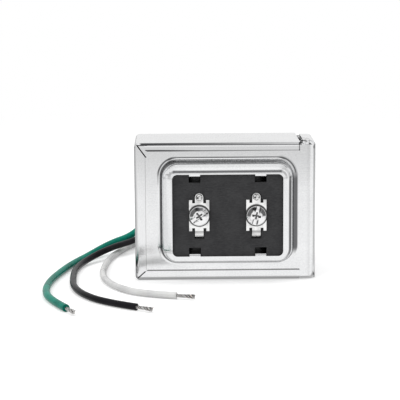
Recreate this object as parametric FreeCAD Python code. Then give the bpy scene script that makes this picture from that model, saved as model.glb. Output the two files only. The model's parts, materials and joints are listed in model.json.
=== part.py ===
import FreeCAD, Part
import math
import os

# Doorbell transformer: an iron core with its coil, held by a wrapped cover and a crimped frame
# of sheet steel, with screw terminals in front and leads from a hub at the rear.
# Millimetres. +X is to the right of the terminals' face, +Y runs to the rear, +Z is up.
# The origin is on the standing surface, under the middle of the case without its leads.

# Laminated core
core_width = 57.0
core_height = 47.5
core_stack = 25.0
core_leg = 9.5
core_tongue = 19.0
core_hole = 3.6

# Case
sheet = 0.7
core_room = 0.35
side_room = 3.1
frame_corner = 1.6
fold_radius = 1.45
lip_left = 4.0
lip_top = 3.05
lip_bottom = 3.65
frame_short = 5.8
cover_gap = 0.2
wrap_bend = 3.0
flap_bend = 1.6
flap_gap = 1.4
flap_relief = 0.9

# Corner cuts of the lips
top_cut_right = 5.4
top_cut_tip = 2.2
top_cut_drop = 1.75
top_cut_foot = 4.7
side_cut_drop = 5.25
top_slit = 0.45
bottom_slit = 0.4
slit_end = 0.4
ear_gap = 0.3

# Pockets pressed out of the wrap cover
pocket_shift = 0.6
pocket_lift = 0.35
window_side = 9.0
window_rise = 9.15
window_corner = 1.8
bead_radius = 4.2
bead_cut = 0.73
rear_bead_radius = 2.5
wall_run = 0.96
foot_radius = 1.6
front_pocket = 9.1
rear_pocket = 12.0

# Tabs that hold the terminal board
tab_width = 3.85
tab_spacing = 23.2
tab_reach = 0.95
tab_bend = 0.6
tab_clinch = 1.3
tab_room = 0.15
slot_depth = 3.0

# Terminal board and terminals
board_lap = 0.4
board_thickness = 1.6
terminal_spacing = 20.1
terminal_width = 7.1
terminal_height = 11.1
terminal_sheet = 0.8
notch_width = 1.0
notch_depth = 1.1
lug_width = 2.9
lug_top = 7.9
lug_hole = 1.5
tongue_width = 3.0
tongue_foot = 8.0
tongue_bend = 1.9
tongue_tail = 1.2
tongue_room = 0.15

# Terminal screws
head_diameter = 6.8
head_height = 2.2
head_crown = 0.7
head_edge = 0.5
shank_diameter = 3.4
screw_tip_room = 0.5
shank_room = 0.1
drive_slot_width = 1.05
drive_slot_depth = 0.8
cross_width = 1.1
cross_length = 4.0
cross_depth = 1.5
left_screw_turn = 35.0
right_screw_turn = 78.0

# Coil
bobbin_room = 0.2
bobbin_wall = 1.0
bobbin_flange = 1.0
winding_build = 3.5
winding_corner = 3.0
tape_thickness = 0.3
flange_proud = 0.3
secondary_wire_diameter = 1.0
secondary_wire_proud = 0.4
wire_room = 0.2
solder_radius = 1.3
solder_height = 1.0
cutout_length = 10.0
cutout_height = 5.5
cutout_depth = 2.4
cutout_edge = 0.8
cutout_shift = 9.0
cutout_drop = 8.0

# Hub in the rear pocket
nipple_radius = 10.5
nipple_bore = 7.9
nipple_reach = 12.0
nipple_chamfer = 0.9
nipple_collar_radius = 13.6
nipple_collar = 2.0
nipple_stake_radius = 11.7
nipple_stake = 1.0
hub_room = 0.05
finger_width = 3.0
finger_thickness = 1.2
finger_length = 5.5
bushing_lip = 1.2
bushing_lip_radius = 9.4
bushing_length = 5.0
bushing_bore = 6.0
bushing_room = 0.1
bushing_edge = 0.6

# Leads
green_diameter = 2.6
black_diameter = 2.4
white_diameter = 2.4
strand_diameter = 1.2
strand_length = 6.5
lead_room = 0.05
earth_rise = 4.25
splice_side = 2.5
splice_drop = 1.55
splice_radius = 2.3
splice_grip = 3.0
splice_edge = 0.5

# Share of the shorter run that each arc of a lead takes, and how near two equal levels may lie
arc_share = 0.45
level_tolerance = 1e-4

# Depth of the board below the bead's crown, where its lower edge meets the bead from inside
bead_inner = bead_radius - sheet
board_edge = bead_cut + 2 * pocket_lift + board_lap
board_seat = bead_radius - math.sqrt(bead_inner * bead_inner - board_edge * board_edge)

# Levels along Y, from the core outwards
front_reach = core_stack / 2 + sheet + front_pocket - board_seat + terminal_sheet + head_height
rear_reach = core_stack / 2 + sheet + rear_pocket + nipple_reach + bushing_lip
core_y = (front_reach - rear_reach) / 2
core_front = core_y - core_stack / 2
core_rear = core_y + core_stack / 2
plate_front = core_front - sheet
plate_rear = core_rear + sheet
lip_front = plate_front - sheet
lip_rear = plate_rear + sheet
crown_front = plate_front - front_pocket
rim_rear = plate_rear + rear_pocket
board_front = crown_front + board_seat
board_back = board_front + board_thickness
terminal_front = board_front - terminal_sheet
nipple_mouth = rim_rear + nipple_reach
nipple_inner = rim_rear - sheet - nipple_stake
bushing_rear = nipple_mouth + bushing_lip

# Levels along Z and X
core_bottom = sheet + core_room
core_top = core_bottom + core_height
case_top = core_top + core_room + sheet
mid_z = case_top / 2
case_right = core_width / 2 + side_room + sheet
case_left = -case_right
frame_right = case_right - frame_short
flap_left = frame_right + flap_gap
window_low = core_bottom + core_leg
window_high = core_top - core_leg

# Window of the pocket, set in from the core's outline
window_width = core_width - 2 * window_side
window_height = core_height - 2 * window_rise

# Coil sizes
tube_half_x = core_tongue / 2 + bobbin_room + bobbin_wall
tube_half_y = core_stack / 2 + bobbin_room + bobbin_wall
coil_half_x = tube_half_x + winding_build
coil_half_y = tube_half_y + winding_build
tape_front = core_y - coil_half_y - tape_thickness
tape_rear = core_y + coil_half_y + tape_thickness
bobbin_low = window_low + bobbin_room
bobbin_high = window_high - bobbin_room
room_low = bobbin_low + bobbin_flange
room_high = bobbin_high - bobbin_flange
divider_low = mid_z - bobbin_flange / 2
divider_high = mid_z + bobbin_flange / 2

# Distances of the pocket's outlines from the edge of its window
draft = math.atan2(wall_run, front_pocket)
top_offset = bead_radius * math.tan(math.pi / 4 - draft / 2) - bead_cut
foot_offset = top_offset + wall_run

# Places of the leads in the hub, and their routes, chosen by hand: out of the hub, down behind the case
# and along the table
earth_z = mid_z + earth_rise
splice_z = mid_z - splice_drop
black_x = pocket_shift - splice_side
white_x = pocket_shift + splice_side
green_route = [
    (pocket_shift, 20.5, earth_z), (pocket_shift, 38.5, earth_z), (-10.0, 51.3, 21.35), (-26.0, 47.5, 13.35),
    (-34.0, 37.4, 5.75), (-43.2, 26.4, 4.55), (-51.4, 16.2, 1.6), (-56.6, 2.2, 1.35),
    (-59.9, -12.4, 1.35), (-62.5, -27.2, 1.35), (-63.0, -42.0, 1.35), (-60.4, -56.4, 1.35),
    (-54.0, -69.2, 1.35),
]
black_route = [
    (black_x, 22.5, splice_z), (black_x, 38.0, splice_z), (-10.5, 47.0, 13.85), (-24.0, 44.5, 7.15),
    (-33.6, 31.8, 4.55), (-43.2, 17.8, 4.35), (-52.0, 7.2, 1.6), (-54.8, -7.0, 1.25),
    (-54.6, -21.8, 1.25), (-53.6, -36.2, 1.25), (-49.4, -49.0, 1.25), (-41.6, -60.4, 1.25),
    (-30.8, -68.0, 1.25),
]
white_route = [
    (white_x, 22.5, splice_z), (white_x, 37.5, splice_z), (-3.0, 47.5, 13.35), (-15.5, 49.5, 4.85),
    (-27.4, 48.0, 1.8), (-35.2, 39.2, 1.4), (-39.4, 27.2, 1.25), (-42.8, 14.4, 1.25),
    (-44.0, 1.0, 1.25), (-44.6, -12.6, 1.25), (-43.0, -25.8, 1.25), (-38.0, -38.2, 1.25),
    (-29.8, -48.0, 1.25), (-17.6, -51.6, 1.25),
]


def vector(x, y, z):
    return FreeCAD.Vector(x, y, z)


def box(x0, x1, y0, y1, z0, z1):
    return Part.makeBox(x1 - x0, y1 - y0, z1 - z0, vector(x0, y0, z0))


def rod(radius, y0, y1, x, z):
    """A round rod that lies along Y."""
    return Part.makeCylinder(radius, y1 - y0, vector(x, y0, z), vector(0, 1, 0))


def turned(profile, x, z):
    """A solid turned about the line along Y through x and z, from pairs of radius and y."""
    points = [vector(x + radius, y, z) for radius, y in profile]
    face = Part.Face(Part.makePolygon(points + points[:1]))
    return face.revolve(vector(x, 0, z), vector(0, 1, 0), 360).removeSplitter()


def on_wall(y, lift):
    """Places an outline on a wall at y, its middle lifted above the window's."""
    return lambda u, v: vector(pocket_shift + u, y, mid_z + lift + v)


def on_level(z):
    """Places an outline of the coil on a level at z."""
    return lambda u, v: vector(u, core_y + v, z)


def rounded_outline(half_u, half_v, corner, place):
    """A closed wire round a rectangle with round corners."""
    inner_u = half_u - corner
    inner_v = half_v - corner
    diagonal = corner * math.sqrt(0.5)
    edges = []
    for u, v, next_u, next_v in ((1, 1, -1, 1), (-1, 1, -1, -1), (-1, -1, 1, -1), (1, -1, 1, 1)):
        side_end = place(u * half_u, v * inner_v)
        cap_end = place(u * inner_u, v * half_v)
        middle = place(u * (inner_u + diagonal), v * (inner_v + diagonal))
        arc_ends = (side_end, cap_end) if u == v else (cap_end, side_end)
        edges.append(Part.Arc(arc_ends[0], middle, arc_ends[1]).toShape())
        if v == next_v:
            edges.append(Part.LineSegment(cap_end, place(next_u * inner_u, v * half_v)).toShape())
        else:
            edges.append(Part.LineSegment(side_end, place(u * half_u, next_v * inner_v)).toShape())
    return Part.Wire(edges)


def window_outline(offset, y):
    """The window's outline, moved outwards by an offset."""
    half_u = window_width / 2 + offset
    half_v = window_height / 2 + offset
    return rounded_outline(half_u, half_v, window_corner + offset, on_wall(y, 0))


def pocket_outline(offset, y):
    """The pocket's outline at an offset from the window: its lower side lies nearer to the window."""
    half_u = window_width / 2 + offset
    half_v = window_height / 2 + offset - pocket_lift
    return rounded_outline(half_u, half_v, window_corner + offset, on_wall(y, pocket_lift))


def tapered(offset_a, y_a, offset_b, y_b):
    """A solid between two outlines of the pocket."""
    return Part.makeLoft([pocket_outline(offset_a, y_a), pocket_outline(offset_b, y_b)], True, True)


def edges_at(shape, y):
    """The edges that lie in the plane at y."""
    return [e for e in shape.Edges if all(abs(v.Point.y - y) < level_tolerance for v in e.Vertexes)]


def plate_from(points, y0, y1):
    """A flat plate between y0 and y1, from pairs of x and z."""
    corners = [vector(x, y0, z) for x, z in points]
    return Part.Face(Part.makePolygon(corners + corners[:1])).extrude(vector(0, y1 - y0, 0))


def rounded_path(points, radius_at):
    """A wire of straight runs joined by tangent arcs, with the arcs' radii."""
    points = [vector(*p) for p in points]
    edges = []
    radii = []
    start = points[0]
    for before, corner, after in zip(points, points[1:], points[2:]):
        back = (before - corner).normalize()
        ahead = (after - corner).normalize()
        half_turn = (math.pi - back.getAngle(ahead)) / 2
        shorter = min(corner.distanceToPoint(before), corner.distanceToPoint(after))
        radius = radius_at(shorter, half_turn)
        setback = radius * math.tan(half_turn)
        arc_start = corner + back * setback
        arc_end = corner + ahead * setback
        inward = (back + ahead).normalize()
        middle = corner + inward * (radius / math.cos(half_turn) - radius)
        edges.append(Part.LineSegment(start, arc_start).toShape())
        edges.append(Part.Arc(arc_start, middle, arc_end).toShape())
        radii.append(radius)
        start = arc_end
    edges.append(Part.LineSegment(start, points[-1]).toShape())
    return Part.Wire(edges), radii


def bent_strip(points, bend, thickness, x0, x1):
    """A strip of sheet along points of y and z, bent at each inner point, from x0 to x1."""
    path, _ = rounded_path([(x0, y, z) for y, z in points], lambda run, half_turn: bend)
    first = vector(x0, *points[0])
    along = (vector(x0, *points[1]) - first).normalize()
    across = vector(0, -along.z, along.y) * (thickness / 2)
    wide = vector(x1 - x0, 0, 0)
    ring = [first - across, first + across, first + across + wide, first - across + wide]
    profile = Part.makePolygon(ring + ring[:1])
    return path.makePipeShell([profile], True, False)


def in_window(x, z):
    """A point of the board's face, from its place beside the middle of the window."""
    return pocket_shift + x, mid_z + z


# Case


def lip_cuts(y0, y1):
    """The corner cuts that part the lips of the frame at its two folded corners."""
    top = case_top - sheet
    low = bottom_slit * math.sqrt(0.5)
    top_cut = plate_from(
        [
            (case_left + sheet, top),
            (case_left + top_cut_right, top),
            (case_left + top_cut_tip, case_top - top_cut_drop),
            (case_left + top_cut_foot, case_top - lip_top),
            (case_left + lip_left, case_top - side_cut_drop),
        ],
        y0,
        y1,
    )
    bottom_cut = plate_from(
        [
            (case_left + sheet, sheet + low),
            (case_left + sheet + low, sheet),
            (case_left + lip_left + low, lip_bottom),
            (case_left + lip_left, lip_bottom + low),
        ],
        y0,
        y1,
    )
    return [top_cut, bottom_cut]


def crimp_frame():
    block = box(case_left, frame_right, lip_front, lip_rear, 0, case_top)
    corners = [
        e
        for e in block.Edges
        if all(abs(v.Point.x - case_left) < level_tolerance for v in e.Vertexes)
        and abs(e.Vertexes[0].Point.y - e.Vertexes[1].Point.y) > sheet
    ]
    block = block.makeFillet(frame_corner, corners)
    folds = [
        e
        for y in (lip_front, lip_rear)
        for e in edges_at(block, y)
        if any(v.Point.x < frame_right - level_tolerance for v in e.Vertexes)
    ]
    block = block.makeFillet(fold_radius, folds)
    roof = case_top - sheet
    inside = box(case_left + sheet, frame_right + sheet, plate_front, plate_rear, sheet, roof)
    mouth = box(
        case_left + lip_left, frame_right + sheet, lip_front, lip_rear, lip_bottom, case_top - lip_top
    )
    cuts = lip_cuts(lip_front, plate_front) + lip_cuts(plate_rear, lip_rear)
    return block.cut([inside, mouth] + cuts)


def wrap_sheet():
    """Front plate, right wall and rear plate of the cover, as one bent sheet."""
    left = case_left + sheet + cover_gap
    bend_x = case_right - wrap_bend
    front_bend_y = plate_front + wrap_bend
    rear_bend_y = plate_rear - wrap_bend
    inner_bend = wrap_bend - sheet
    z = core_bottom

    def corner(radius, y, way):
        reach = radius * math.sqrt(0.5)
        ends = (vector(bend_x, y - way * radius, z), vector(bend_x + radius, y, z))
        return Part.Arc(ends[0], vector(bend_x + reach, y - way * reach, z), ends[1]).toShape()

    def line(x0, y0, x1, y1):
        return Part.LineSegment(vector(x0, y0, z), vector(x1, y1, z)).toShape()

    right_inner = case_right - sheet
    edges = [
        line(left, plate_front, bend_x, plate_front),
        corner(wrap_bend, front_bend_y, 1),
        line(case_right, front_bend_y, case_right, rear_bend_y),
        corner(wrap_bend, rear_bend_y, -1),
        line(bend_x, plate_rear, left, plate_rear),
        line(left, plate_rear, left, core_rear),
        line(left, core_rear, bend_x, core_rear),
        corner(inner_bend, rear_bend_y, -1),
        line(right_inner, rear_bend_y, right_inner, front_bend_y),
        corner(inner_bend, front_bend_y, 1),
        line(bend_x, core_front, left, core_front),
        line(left, core_front, left, plate_front),
    ]
    wire = Part.Wire(Part.__sortEdges__(edges))
    return Part.Face(wire).extrude(vector(0, 0, core_height))


def corner_clips(y0, y1):
    """The clipped left corners of a plate: the frame's mitres show dark where the plate is missing."""
    left = case_left + sheet
    top_clip = plate_from(
        [
            (left, case_top),
            (left + top_slit, case_top - sheet),
            (case_left + lip_left + top_slit, case_top - side_cut_drop),
            (case_left + lip_left, case_top - side_cut_drop),
            (left, core_top - side_cut_drop),
        ],
        y0,
        y1,
    )
    bottom_clip = box(left, case_left + lip_left - slit_end, y0, y1, core_bottom, lip_bottom - slit_end)
    return [top_clip, bottom_clip]


def wall_ear():
    """The small ear below the right wall, beside the lower flap's front end."""
    y0 = plate_front + wrap_bend
    y1 = y0 + flap_relief - ear_gap
    return box(case_right - sheet, case_right, y0, y1, 0, core_bottom + flap_bend + sheet)


def flap(edge_z, way):
    """The flap that closes the wrap cover above (way 1) or below (way -1) the right wall."""
    y0 = plate_front + wrap_bend + flap_relief
    y1 = plate_rear - wrap_bend - flap_relief
    half = sheet / 2
    points = [
        (case_right - half, edge_z - way * (flap_bend + sheet)),
        (case_right - half, edge_z - way * half),
        (flap_left, edge_z - way * half),
    ]
    path, _ = rounded_path([(x, y0, z) for x, z in points], lambda run, half_turn: flap_bend - half)
    first = vector(points[0][0], y0, points[0][1])
    thick = vector(half, 0, 0)
    wide = vector(0, y1 - y0, 0)
    ring = [first - thick, first + thick, first + thick + wide, first - thick + wide]
    return path.makePipeShell([Part.makePolygon(ring + ring[:1])], True, False)


def flap_opening(edge_z, way):
    """The room that is cut in the right wall for a flap's bend and its end reliefs."""
    z0, z1 = sorted((edge_z, edge_z - way * (flap_bend + sheet)))
    y0 = plate_front + wrap_bend
    y1 = plate_rear - wrap_bend
    return box(case_right - flap_bend, case_right + sheet, y0, y1, z0, z1)


def bead_depth(distance):
    """Depth of the bead's middle layer below its crown, at a distance outside the crown's line."""
    middle = bead_radius - sheet / 2
    return bead_radius - math.sqrt(middle * middle - distance * distance)


def board_tab(x, way):
    """A tab of the window's top (way 1) or bottom (way -1) edge, bent through the board and clinched."""
    edge = mid_z + way * window_height / 2
    lane = edge - way * (tab_reach - sheet / 2)
    root = bead_cut + pocket_lift - way * pocket_lift + sheet / 2
    front = crown_front + bead_depth(root)
    clinch = board_back + tab_room + sheet / 2
    points = [
        (front, edge + way * sheet / 2),
        (front, lane),
        (clinch, lane),
        (clinch, lane + way * tab_clinch),
    ]
    middle = pocket_shift + x
    return bent_strip(points, tab_bend, sheet, middle - tab_width / 2, middle + tab_width / 2)


def room_offset(depth):
    """Offset of a pocket's inside at its floor, by which the sheet keeps its thickness all round."""
    lean = math.atan2(wall_run, depth)
    return top_offset - sheet * math.tan(math.pi / 4 - lean / 2)


def near_pocket(edge):
    """Whether an edge lies within the pocket's foot."""
    reach = foot_offset + foot_radius
    beside = abs(edge.CenterOfMass.x - pocket_shift) < window_width / 2 + reach
    return beside and abs(edge.CenterOfMass.z - mid_z) < window_height / 2 + reach


def wrap_cover():
    cover = wrap_sheet()
    for edge_z, way in ((case_top, 1), (0, -1)):
        cover = cover.cut(flap_opening(edge_z, way))
        cover = cover.fuse(flap(edge_z, way))
    cover = cover.cut(corner_clips(plate_front, core_front) + corner_clips(core_rear, plate_rear))
    cover = cover.fuse(wall_ear())
    front = tapered(foot_offset, plate_front, top_offset, crown_front)
    front = front.makeFillet(bead_radius, edges_at(front, crown_front))
    rear = tapered(foot_offset, plate_rear, top_offset, rim_rear)
    rear = rear.makeFillet(rear_bead_radius, edges_at(rear, rim_rear))
    cover = cover.fuse([front, rear]).removeSplitter()
    feet = [e for y in (plate_front, plate_rear) for e in edges_at(cover, y) if near_pocket(e)]
    cover = cover.makeFillet(foot_radius, feet)
    front_inner = room_offset(front_pocket)
    front_room = tapered(front_inner + wall_run, core_front, front_inner, crown_front + sheet)
    front_room = front_room.makeFillet(bead_inner, edges_at(front_room, crown_front + sheet))
    rear_inner = room_offset(rear_pocket)
    rear_room = tapered(rear_inner + wall_run, core_rear, rear_inner, rim_rear - sheet)
    rear_room = rear_room.makeFillet(rear_bead_radius - sheet, edges_at(rear_room, rim_rear - sheet))
    cover = cover.cut([front_room, rear_room])
    mouths = [e for y in (core_front, core_rear) for e in edges_at(cover, y) if near_pocket(e)]
    cover = cover.makeFillet(foot_radius + sheet, mouths)
    window = Part.Face(window_outline(0, crown_front)).extrude(vector(0, board_seat, 0))
    hub_hole = rod(nipple_radius, rim_rear - sheet, rim_rear, pocket_shift, mid_z)
    cover = cover.cut([window, hub_hole])
    tabs = [board_tab(x, way) for x in (-tab_spacing / 2, tab_spacing / 2) for way in (1, -1)]
    return cover.fuse(tabs).removeSplitter()


# Core and coil


def lamination_holes(z):
    x = core_width / 2 - core_leg / 2
    return [rod(core_hole / 2, core_front, core_rear, side * x, z) for side in (-1, 1)]


def e_laminations():
    half = core_width / 2
    tongue = core_tongue / 2
    arm = half - core_leg
    yoke = core_bottom + core_leg
    outline = [
        (-half, core_bottom),
        (half, core_bottom),
        (half, window_high),
        (arm, window_high),
        (arm, yoke),
        (tongue, yoke),
        (tongue, window_high),
        (-tongue, window_high),
        (-tongue, yoke),
        (-arm, yoke),
        (-arm, window_high),
        (-half, window_high),
    ]
    stack = plate_from(outline, core_front, core_rear)
    return stack.cut(lamination_holes(core_bottom + core_leg / 2))


def i_laminations():
    half = core_width / 2
    stack = box(-half, half, core_front, core_rear, window_high, core_top)
    return stack.cut(lamination_holes(core_top - core_leg / 2))


def coil_block(grow, z0, z1):
    """A block with the coil's outline, moved outwards, between two levels."""
    wire = rounded_outline(coil_half_x + grow, coil_half_y + grow, winding_corner + grow, on_level(z0))
    return Part.Face(wire).extrude(vector(0, 0, z1 - z0))


def tube_block(inset, z0, z1):
    return box(
        -tube_half_x + inset,
        tube_half_x - inset,
        core_y - tube_half_y + inset,
        core_y + tube_half_y - inset,
        z0,
        z1,
    )


def bobbin():
    flange_grow = tape_thickness + flange_proud
    levels = ((bobbin_low, room_low), (divider_low, divider_high), (room_high, bobbin_high))
    flanges = [coil_block(flange_grow, low, high) for low, high in levels]
    spool = tube_block(0, bobbin_low, bobbin_high).fuse(flanges).removeSplitter()
    return spool.cut(tube_block(bobbin_wall, bobbin_low, bobbin_high))


def winding(z0, z1):
    return coil_block(0, z0, z1).cut(tube_block(0, z0, z1))


def tape(z0, z1):
    return coil_block(tape_thickness, z0, z1).cut(coil_block(0, z0, z1))


def thermal_cutout():
    x, z = in_window(-cutout_shift, -cutout_drop)
    body = box(
        x - cutout_length / 2,
        x + cutout_length / 2,
        tape_rear,
        tape_rear + cutout_depth,
        z - cutout_height / 2,
        z + cutout_height / 2,
    )
    return body.makeFillet(cutout_edge, edges_at(body, tape_rear + cutout_depth))


# Terminals


def terminal_board():
    board = Part.Face(window_outline(board_lap, board_front)).extrude(vector(0, board_thickness, 0))
    holes = []
    slot_half = tab_width / 2 + tab_room
    for side in (-1, 1):
        for way in (-1, 1):
            x, edge = in_window(side * tab_spacing / 2, way * window_height / 2)
            z0, z1 = sorted((edge - way * slot_depth, edge))
            holes.append(box(x - slot_half, x + slot_half, board_front, board_back, z0, z1))
        x = pocket_shift + side * terminal_spacing / 2
        holes.append(rod(shank_diameter / 2 + shank_room, board_front, board_back, x, mid_z))
        wire_radius = secondary_wire_diameter / 2 + wire_room
        holes.append(rod(wire_radius, board_front, board_back, x, mid_z + lug_hole_height()))
        tongue_half = tongue_width / 2 + tongue_room
        tongue_low = mid_z - tongue_foot - tongue_room
        tongue_high = mid_z - terminal_height / 2 + notch_depth + tongue_room
        holes.append(
            box(x - tongue_half, x + tongue_half, board_front, board_back, tongue_low, tongue_high)
        )
    return board.cut(holes)


def lug_hole_height():
    """How far a lug's hole lies above the screw: at the middle of its round end."""
    return lug_top - lug_width / 2


def terminal_plate(side):
    """A plate with a solder lug above and a tongue below that curls back through the board."""
    x = pocket_shift + side * terminal_spacing / 2
    half = terminal_width / 2
    high = mid_z + terminal_height / 2
    low = mid_z - terminal_height / 2
    plate = box(x - half, x + half, terminal_front, board_front, low, high)
    notches = []
    for width, z0, z1 in ((lug_width, high - notch_depth, high), (tongue_width, low, low + notch_depth)):
        reach = width / 2 + notch_width
        notches.append(box(x - reach, x + reach, terminal_front, board_front, z0, z1))
    plate = plate.cut(notches)
    lug_z = mid_z + lug_hole_height()
    lug = box(x - lug_width / 2, x + lug_width / 2, terminal_front, board_front, high - notch_depth, lug_z)
    lug_end = rod(lug_width / 2, terminal_front, board_front, x, lug_z)
    middle = (terminal_front + board_front) / 2
    lane = mid_z - tongue_foot + terminal_sheet / 2
    points = [(middle, low + notch_depth), (middle, lane), (board_back + tongue_tail, lane)]
    tongue = bent_strip(points, tongue_bend, terminal_sheet, x - tongue_width / 2, x + tongue_width / 2)
    plate = plate.fuse([lug, lug_end, tongue]).removeSplitter()
    shank_hole = rod(shank_diameter / 2 + shank_room, terminal_front, board_front, x, mid_z)
    wire_hole = rod(lug_hole / 2, terminal_front, board_front, x, lug_z)
    return plate.cut([shank_hole, wire_hole])


def terminal_screw(side, turn):
    """A pan-head screw with a cross recess and a slot, turned as it was left."""
    x = pocket_shift + side * terminal_spacing / 2
    radius = head_diameter / 2
    head_front = terminal_front - head_height
    crown_base = head_front + head_crown
    shank_end = tape_front - flange_proud - screw_tip_room
    profile = [
        (0, crown_base),
        (radius, crown_base),
        (radius, terminal_front),
        (shank_diameter / 2, terminal_front),
        (shank_diameter / 2, shank_end),
        (0, shank_end),
    ]
    screw = turned(profile, x, mid_z)
    ball = (radius * radius + head_crown * head_crown) / (2 * head_crown)
    crown = Part.makeSphere(ball, vector(x, head_front + ball, mid_z))
    crown = crown.common(rod(radius, head_front, crown_base, x, mid_z))
    screw = screw.fuse(crown).removeSplitter()
    rim = [e for e in edges_at(screw, crown_base) if e.Length > math.pi * radius]
    screw = screw.makeFillet(head_edge, rim)
    cuts = [
        (drive_slot_width, head_diameter, drive_slot_depth),
        (cross_width, cross_length, cross_depth),
        (cross_length, cross_width, cross_depth),
    ]
    for wide, long, deep in cuts:
        low = mid_z - wide / 2
        tool = box(x - long / 2, x + long / 2, head_front, head_front + deep, low, low + wide)
        tool.rotate(vector(x, 0, mid_z), vector(0, -1, 0), turn)
        screw = screw.cut(tool)
    return screw


def secondary_wire(side):
    x = pocket_shift + side * terminal_spacing / 2
    front = terminal_front - secondary_wire_proud
    return rod(secondary_wire_diameter / 2, front, tape_front, x, mid_z + lug_hole_height())


def solder_joints():
    """A drop of solder on each lug, round the end of its wire."""
    drops = []
    for side in (-1, 1):
        x = pocket_shift + side * terminal_spacing / 2
        z = mid_z + lug_hole_height()
        ball = (solder_radius * solder_radius + solder_height * solder_height) / (2 * solder_height)
        drop = Part.makeSphere(ball, vector(x, terminal_front - solder_height + ball, z))
        drop = drop.common(rod(solder_radius, terminal_front - solder_height, terminal_front, x, z))
        drops.append(drop.cut(secondary_wire(side)))
    return Part.makeCompound(drops)


# Hub and leads


def finger_inner():
    """How far the hub's earth finger lies above the hub's axis: just over the green lead."""
    return earth_rise + green_diameter / 2 + lead_room


def hub_nipple():
    profile = [
        (nipple_bore, nipple_inner),
        (nipple_stake_radius, nipple_inner),
        (nipple_stake_radius, rim_rear - sheet),
        (nipple_radius - hub_room, rim_rear - sheet),
        (nipple_radius - hub_room, rim_rear),
        (nipple_collar_radius, rim_rear),
        (nipple_collar_radius, rim_rear + nipple_collar),
        (nipple_radius, rim_rear + nipple_collar),
        (nipple_radius, nipple_mouth - nipple_chamfer),
        (nipple_radius - nipple_chamfer, nipple_mouth),
        (nipple_bore, nipple_mouth),
    ]
    nipple = turned(profile, pocket_shift, mid_z)
    half = finger_width / 2
    low = mid_z + finger_inner()
    web = box(
        pocket_shift - half,
        pocket_shift + half,
        nipple_inner - finger_thickness,
        nipple_inner,
        low,
        mid_z + nipple_stake_radius - nipple_stake,
    )
    finger = box(
        pocket_shift - half,
        pocket_shift + half,
        nipple_inner - finger_thickness,
        nipple_inner + finger_length,
        low,
        low + finger_thickness,
    )
    return nipple.fuse([web, finger]).removeSplitter()


def throat_bushing():
    outer = nipple_bore - bushing_room
    profile = [
        (bushing_bore, nipple_mouth - bushing_length),
        (outer, nipple_mouth - bushing_length),
        (outer, nipple_mouth),
        (bushing_lip_radius, nipple_mouth),
        (bushing_lip_radius, bushing_rear),
        (bushing_bore, bushing_rear),
    ]
    ring = turned(profile, pocket_shift, mid_z)
    return ring.makeFillet(bushing_edge, edges_at(ring, bushing_rear))


def lead(name, route, diameter):
    """One lead's insulation: straight runs and tangent arcs, each arc as large as its runs allow."""
    path, radii = rounded_path(route, lambda run, half_turn: arc_share * run / math.tan(half_turn))
    start = vector(*route[0])
    along = vector(*route[1]) - start
    ring = Part.Wire(Part.Circle(start, along, diameter / 2).toShape())
    tube = path.makePipeShell([ring], True, True)
    ideal = path.Length * math.pi * diameter * diameter / 4
    print(name, "length", round(path.Length, 1), "volume ratio", round(tube.Volume / ideal, 4))
    print(name, "radii", [round(radius, 1) for radius in radii])
    return tube


def strands(route):
    """The twisted wires that stand out of a lead's stripped end."""
    end = vector(*route[-1])
    along = end - vector(*route[-2])
    return Part.makeCylinder(strand_diameter / 2, strand_length, end, along)


def splice(route, diameter):
    """A crimp cap that stands on the coil's middle flange and takes a lead's inner end."""
    x, y, z = route[0]
    mouth = y + splice_grip
    seat = tape_rear + flange_proud
    cap = rod(splice_radius, seat, mouth, x, z)
    cap = cap.makeFillet(splice_edge, edges_at(cap, seat))
    return cap.cut(rod(diameter / 2 + lead_room, y, mouth, x, z))


def earth_solder():
    """The bead that bonds the green lead's inner end to the hub's finger."""
    x, y, z = green_route[0]
    radius = green_diameter / 2
    bead = rod(radius, nipple_inner, y, x, z)
    neck = box(x - finger_width / 4, x + finger_width / 4, nipple_inner, y, z, mid_z + finger_inner())
    return bead.fuse(neck).removeSplitter()


parts = {
    "crimp_frame": crimp_frame(),
    "wrap_cover": wrap_cover(),
    "e_laminations": e_laminations(),
    "i_laminations": i_laminations(),
    "bobbin": bobbin(),
    "primary_winding": winding(room_low, divider_low),
    "secondary_winding": winding(divider_high, room_high),
    "primary_tape": tape(room_low, divider_low),
    "secondary_tape": tape(divider_high, room_high),
    "thermal_cutout": thermal_cutout(),
    "terminal_board": terminal_board(),
    "left_terminal_plate": terminal_plate(-1),
    "right_terminal_plate": terminal_plate(1),
    "left_terminal_screw": terminal_screw(-1, left_screw_turn),
    "right_terminal_screw": terminal_screw(1, right_screw_turn),
    "left_secondary_wire": secondary_wire(-1),
    "right_secondary_wire": secondary_wire(1),
    "solder_joints": solder_joints(),
    "hub_nipple": hub_nipple(),
    "throat_bushing": throat_bushing(),
    "earth_solder": earth_solder(),
    "black_splice": splice(black_route, black_diameter),
    "white_splice": splice(white_route, white_diameter),
    "green_lead": lead("green_lead", green_route, green_diameter),
    "black_lead": lead("black_lead", black_route, black_diameter),
    "white_lead": lead("white_lead", white_route, white_diameter),
    "green_strands": strands(green_route),
    "black_strands": strands(black_route),
    "white_strands": strands(white_route),
}

os.makedirs("parts", exist_ok=True)
for node, shape in parts.items():
    shape.exportStep("parts/" + node + ".step")
    print(node, "solids", len(shape.Solids), "volume", round(shape.Volume, 1), "valid", shape.isValid())
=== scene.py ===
# %% [markdown]
# A doorbell transformer, dressed for its portrait
# The solids of this transformer are built and packed already: a crimped case of zinc-plated sheet, a fibre
# board with two screw terminals, and three leads from a hub at the rear. This lesson loads them as a fixed
# frame, adds the pieces that want a finer mesh, and gives every surface its finish.

import json
import math

import bmesh
import bpy
import mathutils.noise
from mathutils import Matrix, Vector


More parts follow.
